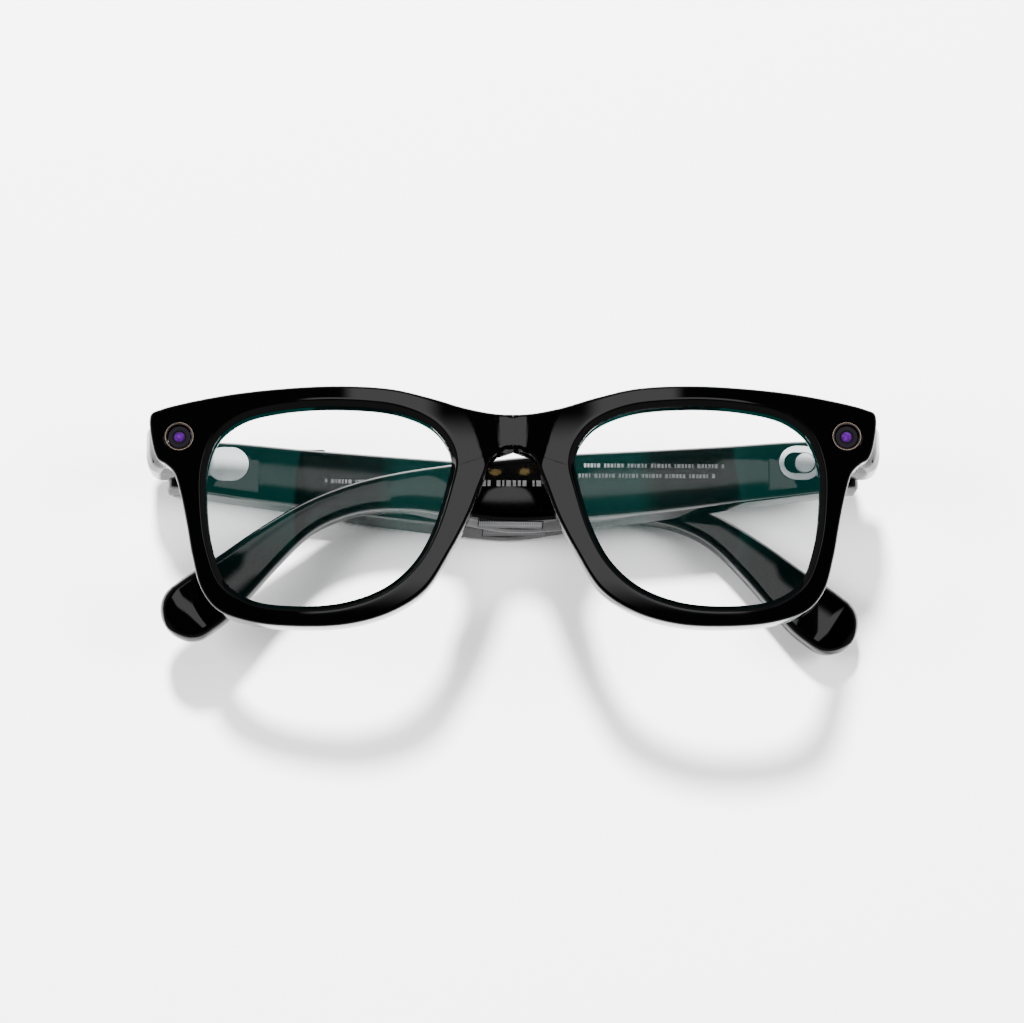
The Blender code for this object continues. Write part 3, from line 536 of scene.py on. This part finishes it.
def key_groove(x, y):
    """The bridge is cut like a keystone: its flanks fall away from a flat middle strip."""
    share = (y - KEY_FOOT[1]) / (KEY_TOP[1] - KEY_FOOT[1])
    share = min(1.2, max(-0.4, share))
    crease = KEY_FOOT[0] + (KEY_TOP[0] - KEY_FOOT[0]) * share
    strip = crease * 0.42
    off = abs(x)
    if off >= crease or y < 4:
        return 0.0
    if off <= strip:
        return KEY_FALL
    return KEY_FALL * (crease - off) / (crease - strip)


def bezel_shape(per_span, bridge_rows):
    outline = smooth_curve(HALF_OUTLINE, per_span, closed=False, level_ends=True)
    opening = smooth_curve(LENS_OUTLINE, 12, closed=True)
    centre = np.array(LENS_CENTRE)
    bridge = [np.array((0.0, y)) for y in np.linspace(HALF_OUTLINE[-1][1], HALF_OUTLINE[0][1], bridge_rows)]
    shape = bmesh.new()
    rows = []
    last = None
    for outer in [*bridge, *outline[1:-1]]:
        angle = math.atan2(*(outer - centre)[::-1])
        if last is not None:
            turn = (last - angle + 0.5) % (2 * math.pi) - 0.5
            angle = last - max(turn, 0.0006)
        last = angle
        way = np.array((math.cos(angle), math.sin(angle)))
        inner = centre + way * ray_hit(centre, angle, opening)
        width = float(np.linalg.norm(outer - inner))
        middle = np.linspace(LIP_WIDTH + 0.5, width - EDGE_ROUND - 0.1, 24)
        across = [0.0, 0.1, 0.3, 0.6, 0.9, 1.05, 1.2, 1.35, *middle,
                  *(width - EDGE_ROUND * v for v in (0.9, 0.75, 0.6, 0.45, 0.3, 0.18, 0.08, 0.02, 0.0))]

        def corner(distance, back, depth=None):
            if depth is not None:
                at = inner + way * distance
                return shape.verts.new((at[0], at[1], face_height(*at) - depth))
            at = inner + (outer - inner) * distance / width
            height = face_height(*at)
            inside = line_distance(at, opening, True)
            outside = edge_drop(line_distance(at, outline, False))
            if back:
                rear_fall = max(edge_drop(inside), outside)
                return shape.verts.new((at[0], at[1], height - RIM_DEPTH + 0.6 * rear_fall))
            rest = 1 - inside / LIP_WIDTH
            lip = LIP_DROP * (math.sqrt(rest * rest + 0.006) + rest) / 2
            fall = max(lip, outside, 0.0)
            return shape.verts.new((at[0], at[1], height - fall - key_groove(*at)))

        front = [corner(d, False) for d in across]
        rear = [corner(d, True) for d in reversed(across)]
        groove = [corner(0.0, False, GROOVE_REAR), corner(GROOVE_WIDE, False, GROOVE_REAR),
                  corner(GROOVE_WIDE, False, GROOVE_FRONT), corner(0.0, False, GROOVE_FRONT)]
        rows.append(front + rear + groove)
    wall = len(across) - 1
    count = len(rows[0])
    for k in range(len(rows)):
        here, there = rows[k], rows[(k + 1) % len(rows)]
        for i in range(count):
            if i == wall and k < bridge_rows - 1:
                continue
            j = (i + 1) % count
            shape.faces.new((here[i], there[i], there[j], here[j]))
    twin = bmesh.ops.duplicate(shape, geom=shape.verts[:] + shape.edges[:] + shape.faces[:])
    twin_verts = [g for g in twin["geom"] if isinstance(g, bmesh.types.BMVert)]
    bmesh.ops.scale(shape, vec=(-1, 1, 1), verts=twin_verts)
    bmesh.ops.remove_doubles(shape, verts=shape.verts, dist=1e-4)
    return shape


def lens_shape():
    opening = smooth_curve(LENS_OUTLINE, 12, closed=True)
    centre = np.array(LENS_CENTRE)
    count = 160
    rings = np.linspace(0.1, 1.0, 14)
    shape = bmesh.new()
    ends = []
    for depth in (LENS_SEAT, LENS_SEAT + LENS_THICK):
        hub = shape.verts.new((*centre, face_height(*centre) - depth))
        loops = []
        for share in rings:
            loop = []
            for k in range(count):
                angle = 2 * math.pi * k / count
                reach = (ray_hit(centre, angle, opening) + LENS_OVERLAP) * share
                at = centre + reach * np.array((math.cos(angle), math.sin(angle)))
                loop.append(shape.verts.new((at[0], at[1], face_height(*at) - depth)))
            loops.append(loop)
        ends.append(loops[-1])
        for k in range(count):
            j = (k + 1) % count
            shape.faces.new((hub, loops[0][k], loops[0][j]))
            for a, b in zip(loops, loops[1:]):
                shape.faces.new((a[k], b[k], b[j], a[j]))
    for k in range(count):
        j = (k + 1) % count
        shape.faces.new((ends[0][k], ends[1][k], ends[1][j], ends[0][j]))
    return shape


def rounded(points, reach=0.6, steps=5):
    """A closed outline with its corners rounded."""
    out = []
    pts = [np.array(p, float) for p in points]
    for i, at in enumerate(pts):
        before, after = pts[i - 1] - at, pts[(i + 1) % len(pts)] - at
        cut = min(reach, 0.45 * np.linalg.norm(before), 0.45 * np.linalg.norm(after))
        a = at + before / np.linalg.norm(before) * cut
        b = at + after / np.linalg.norm(after) * cut
        for k in range(steps + 1):
            t = k / steps
            out.append((1 - t) ** 2 * a + 2 * t * (1 - t) * at + t * t * b)
    return out


def corner_block_shape():
    shape = bmesh.new()
    front, rear = rounded(BLOCK_FRONT, 1.6), rounded(BLOCK_REAR, 1.6)
    levels = np.array(BLOCK_LEVELS)
    loops = []
    for z in [*np.linspace(-6.2, -18.6, 26), -18.8, -18.93, -19.0]:
        share = float(np.interp(-z, -levels[:, 0], levels[:, 1]))
        pull = 0.0 if z >= -18.6 else 0.25 * (1 - math.sqrt(max(0.0, 1 - ((-z - 18.6) / 0.4) ** 2)))
        ring = []
        for a, b in zip(front, rear):
            at = a + (b - a) * share
            middle = np.array((67.0, 15.1))
            at = at + (middle - at) / np.linalg.norm(middle - at) * pull
            ring.append(shape.verts.new((at[0], at[1], z)))
        loops.append(ring)
    shape.faces.new(loops[0])
    shape.faces.new(loops[-1])
    for near, far in zip(loops, loops[1:]):
        for k in range(len(near)):
            j = (k + 1) % len(near)
            shape.faces.new((near[k], near[j], far[j], far[k]))
    return shape


def nose_pad_shape():
    levels = np.array([
        (12.6, -0.2, 1.3, 5.0, -4.4), (12.6, -0.6, 1.4, 5.2, -6.6), (12.4, -0.8, 1.3, 4.6, -8.2),
        (12.2, -1.0, 0.9, 3.4, -9.4), (12.1, -1.0, 0.4, 2.0, -9.9),
    ])
    lean = math.radians(-24)
    curve = smooth_curve([row for row in levels], 6, closed=False)
    shape = bmesh.new()
    loops = []
    for cx, cy, rx, ry, z in curve:
        loop = []
        for k in range(64):
            angle = 2 * math.pi * k / 64
            dx, dy = rx * math.cos(angle), ry * math.sin(angle)
            x = cx + dx * math.cos(lean) + dy * math.sin(lean)
            y = cy - dx * math.sin(lean) + dy * math.cos(lean)
            loop.append(shape.verts.new((x, y, z + face_height(x, y))))
        loops.append(loop)
    shape.faces.new(loops[0])
    shape.faces.new(loops[-1])
    for near, far in zip(loops, loops[1:]):
        for k in range(64):
            j = (k + 1) % 64
            shape.faces.new((near[k], near[j], far[j], far[k]))
    return shape


def between(table, value):
    return float(np.interp(value, [row[0] for row in table], [row[1] for row in table]))


def curl(along):
    share = max(0.0, (along - CURL_START) / (138.0 - CURL_START))
    return TIP_CURL * share**1.7


def temple_stations(start, end, spacing):
    line = smooth_curve(TEMPLE_LINE, 24, closed=False)
    steps = np.linalg.norm(np.diff(line[:, :2], axis=0), axis=1)
    length = np.concatenate(([0.0], np.cumsum(steps)))
    first = np.interp(start, line[:, 0], length)
    last = np.interp(end, line[:, 0], length)
    count = max(2, round((last - first) / spacing) + 1)
    out = []
    for at in np.linspace(first, last, count):
        x, y, half = (np.interp(at, length, line[:, i]) for i in range(3))
        ahead = [np.interp(at + 1.5, length, line[:, i]) for i in range(2)]
        behind = [np.interp(at - 1.5, length, line[:, i]) for i in range(2)]
        slope = math.atan2(ahead[1] - behind[1], ahead[0] - behind[0])
        slope *= min(1.0, max(0.0, (x - COVER_START) / 30.0))
        outer = OUTER_Z + curl(x)
        out.append((np.array((x, y)), slope, half, outer, outer + between(THICKNESS, x)))
    return out


def section(point, slope, half, low, high, radius, per_corner=4):
    radius = min(radius, 0.49 * (high - low), 0.98 * half)
    normal = np.array((-math.sin(slope), math.cos(slope)))
    rise = between(UNDERCUT, point[0]) / between(THICKNESS, point[0])
    outer = OUTER_Z + curl(point[0])
    corners = [(half - radius, high - radius, 0), (-half + radius, high - radius, 1),
               (-half + radius, low + radius, 2), (half - radius, low + radius, 3)]
    out = []
    for across, z, turn in corners:
        for k in range(per_corner):
            angle = math.pi / 2 * (turn + k / (per_corner - 1))
            a = across + radius * math.cos(angle)
            b = z + radius * math.sin(angle)
            if across < 0:
                a += rise * (b - outer)
            at = point + normal * a
            out.append((at[0], at[1], b))
    return out


def loft(sections):
    shape = bmesh.new()
    loops = [[shape.verts.new(p) for p in ring] for ring in sections]
    for near, far in zip(loops, loops[1:]):
        for k in range(len(near)):
            j = (k + 1) % len(near)
            shape.faces.new((near[k], near[j], far[j], far[k]))
    for loop in (loops[0], loops[-1]):
        shape.faces.new(loop)
    return shape


def temple_body_shape():
    sections = []
    for x in np.linspace(-BUTT_REACH, -0.2, 9):
        inner = math.sqrt(max(0.0, BUTT_REACH**2 - x * x))
        point = np.array((x, TEMPLE_LINE[0][1]))
        trim = 0.35 * max(0.0, 1 - (x + BUTT_REACH) / 0.35)
        sections.append(section(point, 0.0, TEMPLE_LINE[0][2] - trim, OUTER_Z + trim, max(inner, 0.2),
                                1.0, 8))
    for point, slope, half, low, high in temple_stations(0.0, 131.4, 1.2):
        sections.append(section(point, slope, half, low, high, 1.6, 8))
    point, slope, half, low, high = temple_stations(0.0, 131.4, 1.2)[-1]
    way = np.array((math.cos(slope), math.sin(slope)))
    middle, thick = (low + high) / 2, (high - low) / 2
    for share in np.sin(np.linspace(0.12, 1.54, 14)):
        shrink = math.sqrt(1 - share**2)
        flat = thick * (0.35 + 0.65 * shrink)
        sections.append(section(point + way * TIP_ROUND * share, slope, half * shrink,
                                middle - flat, middle + flat, 1.8, 8))
    return loft(sections)


def recess_shape(inset, start, end, depth, over):
    """The step in the inner face that the inner cover lies in."""
    return loft([
        section(point, slope, half - inset, high - depth, high + over, 0.3, 5)
        for point, slope, half, low, high in temple_stations(start, end, 2.5)
    ])


def inner_z(along):
    return OUTER_Z + curl(along) + between(THICKNESS, along)


def grille_place():
    low_edge = between([row[:2] for row in TEMPLE_LINE], GRILLE_X)
    low_edge -= between([(row[0], row[2]) for row in TEMPLE_LINE], GRILLE_X)
    rise = between(UNDERCUT, GRILLE_X) / between(THICKNESS, GRILLE_X)
    lean = Matrix.Rotation(-math.atan(rise), 4, "X")
    return Matrix.Translation((GRILLE_X, low_edge + rise * (GRILLE_Z - OUTER_Z), GRILLE_Z)) @ lean


def grille_block(grow, depth):
    low = (-GRILLE_HALF - grow, -1.0 if grow else 0.06, -1.5 - grow)
    high = (GRILLE_HALF + grow, depth, 1.5 + grow)
    shape = block(low, high)
    bmesh.ops.transform(shape, matrix=grille_place(), verts=shape.verts)
    return shape


# ------------------------------------------------------------ the front
def tool(shape, place, mirrored=False):
    return piece("tool", shape, place, None, None, mirrored)


rim = piece("rim", bezel_shape(10, 15), FRONT, None, None)
carve(rim, *[tool(prism(circle((EYE_X, EYE_Y), EYE_HOLE_R), -9.5, 2.0), FRONT, m) for m in (False, True)])
finish_mesh(rim, "gloss", 38)
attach(rim, "front")
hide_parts("frame_front")
for side, mirrored in (("left", False), ("right", True)):
    corner = piece(f"corner_block_{side}", corner_block_shape(), FRONT, None, None, mirrored)
    carve(corner,
          tool(block((CAVITY_X[0], CAVITY_Y[0], -22), (CAVITY_X[1], CAVITY_Y[1], CAVITY_FRONT_Z)), FRONT,
               mirrored),
          tool(prism(circle((EYE_X, EYE_Y), EYE_HOLE_R), -9.5, 2.0), FRONT, mirrored))
    finish_mesh(corner, "gloss")
    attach(corner, "front")
    piece(f"nose_pad_{side}", nose_pad_shape(), FRONT, "front", "gloss", mirrored, angle=60)
    lens = piece(f"lens_{side}_fine", lens_shape(), FRONT, None, None, mirrored)
    # The lens material carries a painted teal reflection, given off as emission.
    lens.data.materials.append(lens_material(f"coated_lens_painted_sheen_{side}", 1.0 if side == "left" else -1.0))
    for face in lens.data.polygons:
        face.use_smooth = True
    lens.data.set_sharp_from_angle(angle=math.radians(40))
    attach(lens, "front")
    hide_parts(f"lens_{side}")
    refined(f"corner_cover_{side}", "matt", 0.15)
    refined(f"hinge_tongue_{side}", "steel", 0.12)
    refined(f"charge_contact_{side}", "gold", 0.12)

for node, mirrored in (("camera", False), ("light", True)):
    foot = RING_FRONT_Z - RING_DEPTH
    crown = [(RING_BORE_R, foot), (RING_R, foot), (RING_R, RING_FRONT_Z - 0.12),
             (RING_R - 0.04, RING_FRONT_Z - 0.04),
             (RING_R - 0.12, RING_FRONT_Z), (RING_BORE_R + 0.2, RING_FRONT_Z - 0.02),
             (RING_BORE_R + 0.08, RING_FRONT_Z - 0.08), (RING_BORE_R, RING_FRONT_Z - 0.2)]
    piece(f"{node}_ring_fine", lathe((EYE_X, EYE_Y), crown), FRONT, "front", "bronze", mirrored,
          (f"{node}_ring",))
    top = foot + 0.9
    pane = [(0, foot), (RING_BORE_R - 0.15, foot), (RING_BORE_R - 0.15, top - 0.15), (RING_BORE_R - 0.3, top),
            (1.35, top), (1.2, top - 0.12), (1.05, top - 0.12), (0, top - 0.12)]
    piece(f"{node}_window_fine", lathe((EYE_X, EYE_Y), pane), FRONT, "front", "glass", mirrored,
          (f"{node}_window",))
    # The dome's purple colour is a painted glint, standing in for the coating's reflection inside the window.
    dome = [(0, top - 0.14)]
    dome += [(math.cos(a), top - 0.14 + 0.3 * math.sin(a)) for a in np.linspace(0, 1.4, 9)]
    dome.append((0, top + 0.16))
    piece(f"{node}_element", lathe((EYE_X, EYE_Y), dome, 64), FRONT, "front", "purple", mirrored)
refined("camera_module", "module", 0.1)
refined("light_guide", "clear", 0.1)
refined("light_board", "board", 0.05)
refined("nose_microphone", "brass", 0.08)

# ------------------------------------------------------------ the temples
EAR_LOW = PIN_Y - 1.7 - 0.3 - 1.2
EAR_TOP = PIN_Y + 1.7 + 0.3 + 1.2
FACE = inner_z(8.0)


def print_rows(name, body, place, mirrored, rows, replaced=()):
    """Short plain strokes on the inner face, where the real one carries small print."""
    whole = bmesh.new()
    step = 0
    for start, end, height, size in rows:
        x = start
        while x < end:
            length = (0.55, 0.8, 0.35, 0.65, 0.5)[step % 5] * size
            z = inner_z(x) + 0.004
            half = size / 2
            corners = [(x, height - half), (x + length, height - half), (x + length, height + half),
                       (x, height + half)]
            low = [whole.verts.new((a, b, z - 0.05)) for a, b in corners]
            high = [whole.verts.new((a, b, z + 0.012)) for a, b in corners]
            whole.faces.new(low)
            whole.faces.new(high)
            for i in range(4):
                j = (i + 1) % 4
                whole.faces.new((low[i], low[j], high[j], high[i]))
            x += length + (0.3 if step % 6 else 1.0) * size
            step += 1
    return piece(name, whole, place, body, "print", mirrored)


for side, place, mirrored in (("right", RIGHT, False), ("left", LEFT, True)):
    body = f"temple_{side}"
    shell = piece(f"{body}_shell_fine", temple_body_shape(), place, None, None, mirrored)
    cuts = [
        block((-6.0, EAR_LOW - 0.2, -2.65), (3.9, EAR_TOP + 0.2, 6.0)),
        pill((PILL_X[0] - 0.12, PILL_X[1] + 0.12), (PILL_Y[0] - 0.12, PILL_Y[1] + 0.12),
             FACE - PILL_THICK - 0.15, FACE + 1),
        recess_shape(SKIN, COVER_START, COVER_END, COVER_SKIN + 0.1, 2.0),
        grille_block(0.15, 1.25),
    ]
    if side == "right":
        cuts.append(block((BUTTON_X[0] - 0.2, 13.0, -3.2), (BUTTON_X[1] + 0.2, 20.0, -0.6)))
    carve(shell, *[tool(cut, place, mirrored) for cut in cuts])
    finish_mesh(shell, "gloss")
    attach(shell, body)
    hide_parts(f"{body}_shell")
    cover = loft([
        section(point, slope, half - SKIN - COVER_SEAM, high - COVER_SKIN, high, 0.3, 5)
        for point, slope, half, low, high in temple_stations(
            COVER_START + COVER_STEP * 0.4, COVER_END - COVER_SEAM, 1.5)
    ])
    piece(f"{body}_cover_fine", cover, place, body, "satin", mirrored, (f"{body}_cover",))
    piece(f"speaker_grille_{side}_fine", grille_block(0.0, 1.05), place, body, "mesh", mirrored,
          (f"speaker_grille_{side}",), 0.15)
    refined(f"hinge_fork_{side}", "steel", 0.12)
    refined(f"hinge_pin_{side}", "steel", 0.12)
    refined(f"speaker_{side}", "module", 0.2)
    refined(f"microphone_{side}", "brass", 0.08)

piece("pill_inlay_right_fine", pill(PILL_X, PILL_Y, FACE - PILL_THICK, FACE), RIGHT, "temple_right",
      "pale", False, ("pill_inlay_right",), 0.18)
refined("capture_button", "gloss", 0.3)
refined("button_switch", "steel", 0.1)
refined("main_board", "board", 0.05)
refined("processor_shield", "steel", 0.08)
refined("touch_film", "amber", 0.03)
refined("switch_plate", "pale", 0.12)
refined("power_switch", "pale", 0.15)
refined("battery_cell", "foil", 0.4)
refined("battery_board", "board", 0.05)
print_rows("print_left", "temple_left", LEFT, True,
           [(24.7, 53.0, 12.7, 0.8), (26.5, 54.0, 10.6, 0.8), (61.5, 73.0, 8.9, 1.2)])
print_rows("print_right", "temple_right", RIGHT, False, [(29.0, 37.5, 10.4, 0.8)])

# ------------------------------------------------------------ floor, light and camera
floor = bpy.data.meshes.new("floor")
floor.from_pydata([(-3, -3, 0), (3, -3, 0), (3, 3, 0), (-3, 3, 0)], [], [(0, 1, 2, 3)])
ground = bpy.data.objects.new("floor", floor)
bpy.context.scene.collection.objects.link(ground)
ground.location = (0, 0, -0.0002)
ground.data.materials.append(
    shader("pale_floor", (0.86, 0.86, 0.86), 0.35, second=(0.862, 0.862, 0.862), ior=1.3))

world = bpy.data.worlds.new("studio")
bpy.context.scene.world = world
world.use_nodes = True
nodes, links = world.node_tree.nodes, world.node_tree.links
background = nodes["Background"]
coords = nodes.new("ShaderNodeTexCoord")


def spread(axis, low, high, soft):
    """One between two angles off an axis's zero plane, in degrees, and nothing beyond them."""
    dot = nodes.new("ShaderNodeVectorMath")
    dot.operation = "DOT_PRODUCT"
    dot.inputs[1].default_value = axis
    links.new(coords.outputs["Generated"], dot.inputs[0])
    ends = []
    for start, end in ((low - soft, low + soft), (high + soft, high - soft)):
        step = nodes.new("ShaderNodeMapRange")
        step.interpolation_type = "SMOOTHSTEP"
        step.inputs["From Min"].default_value = math.sin(math.radians(start))
        step.inputs["From Max"].default_value = math.sin(math.radians(end))
        links.new(dot.outputs["Value"], step.inputs["Value"])
        ends.append(step.outputs["Result"])
    return product(*ends)


def total(*parts):
    value = parts[0]
    for part in parts[1:]:
        node = nodes.new("ShaderNodeMath")
        node.operation = "ADD"
        links.new(value, node.inputs[0])
        links.new(part, node.inputs[1])
        value = node.outputs[0]
    return value


def product(a, b):
    node = nodes.new("ShaderNodeMath")
    node.operation = "MULTIPLY"
    for i, value in enumerate((a, b)):
        if isinstance(value, (int, float)):
            node.inputs[i].default_value = value
        else:
            links.new(value, node.inputs[i])
    return node.outputs[0]


split = nodes.new("ShaderNodeSeparateXYZ")
links.new(coords.outputs["Generated"], split.inputs["Vector"])
band = nodes.new("ShaderNodeMapRange")
band.interpolation_type = "SMOOTHSTEP"
band.inputs["From Min"].default_value = math.cos(math.radians(40))
band.inputs["From Max"].default_value = math.cos(math.radians(60))
band.inputs["To Min"].default_value = 0.0
band.inputs["To Max"].default_value = 0.35
links.new(split.outputs["Z"], band.inputs["Value"])
above = nodes.new("ShaderNodeMapRange")
above.inputs["From Max"].default_value = 0.1
above.inputs["To Max"].default_value = SOFTBOX
links.new(split.outputs["Z"], above.inputs["Value"])
tip = math.radians(90 - CAMERA_RISE)
across_way = TURN @ Vector((1, 0, 0))
rise_way = TURN @ Vector((0, math.cos(tip), -math.sin(tip)))
softbox = product(spread(across_way, *SOFTBOX_X, 1.2), spread(rise_way, *SOFTBOX_Y, 1.2))
strip = product(spread(across_way, *STRIP_X, 1.0), spread(rise_way, *STRIP_Y, 1.2))
glow = product(total(softbox, strip), above.outputs["Result"])
links.new(total(band.outputs["Result"], glow), background.inputs["Strength"])
background.inputs["Color"].default_value = (1, 1, 1, 1)


def lamp(name, way, distance, size, power):
    data = bpy.data.lights.new(name, "AREA")
    data.shape = "DISK"
    data.size = size
    data.energy = power
    made = bpy.data.objects.new(name, data)
    bpy.context.scene.collection.objects.link(made)
    made.location = Vector(way).normalized() * distance
    made.rotation_euler = (-Vector(way)).to_track_quat("-Z", "Y").to_euler()
    made.visible_glossy = False


lamp("key", (-0.12, 0.62, 0.79), 1.6, 0.22, 165)
lamp("fill_left", (0.75, 0.1, 0.65), 1.6, 0.8, 45)
lamp("fill_right", (-0.75, 0.05, 0.65), 1.6, 0.8, 45)

camera = bpy.data.cameras.new("camera")
camera.lens = CAMERA_LENS
camera.sensor_width = 36.0
viewer = bpy.data.objects.new("camera", camera)
bpy.context.scene.collection.objects.link(viewer)
ELEVATION = math.radians(CAMERA_RISE)
back = TURN @ Vector((0, -math.cos(ELEVATION), math.sin(ELEVATION)))
up = TURN @ Vector((0, 1, 0))
right = up.cross(back).normalized()
up = back.cross(right).normalized()
target = FRONT @ (Vector((-0.2, -0.7, 0.0)) * MM)
attitude = Matrix((right, up, back)).transposed().to_4x4()
viewer.matrix_world = Matrix.Translation(target + back * CAMERA_FAR) @ attitude
camera.clip_start, camera.clip_end = 0.05, 20
bpy.context.scene.camera = viewer
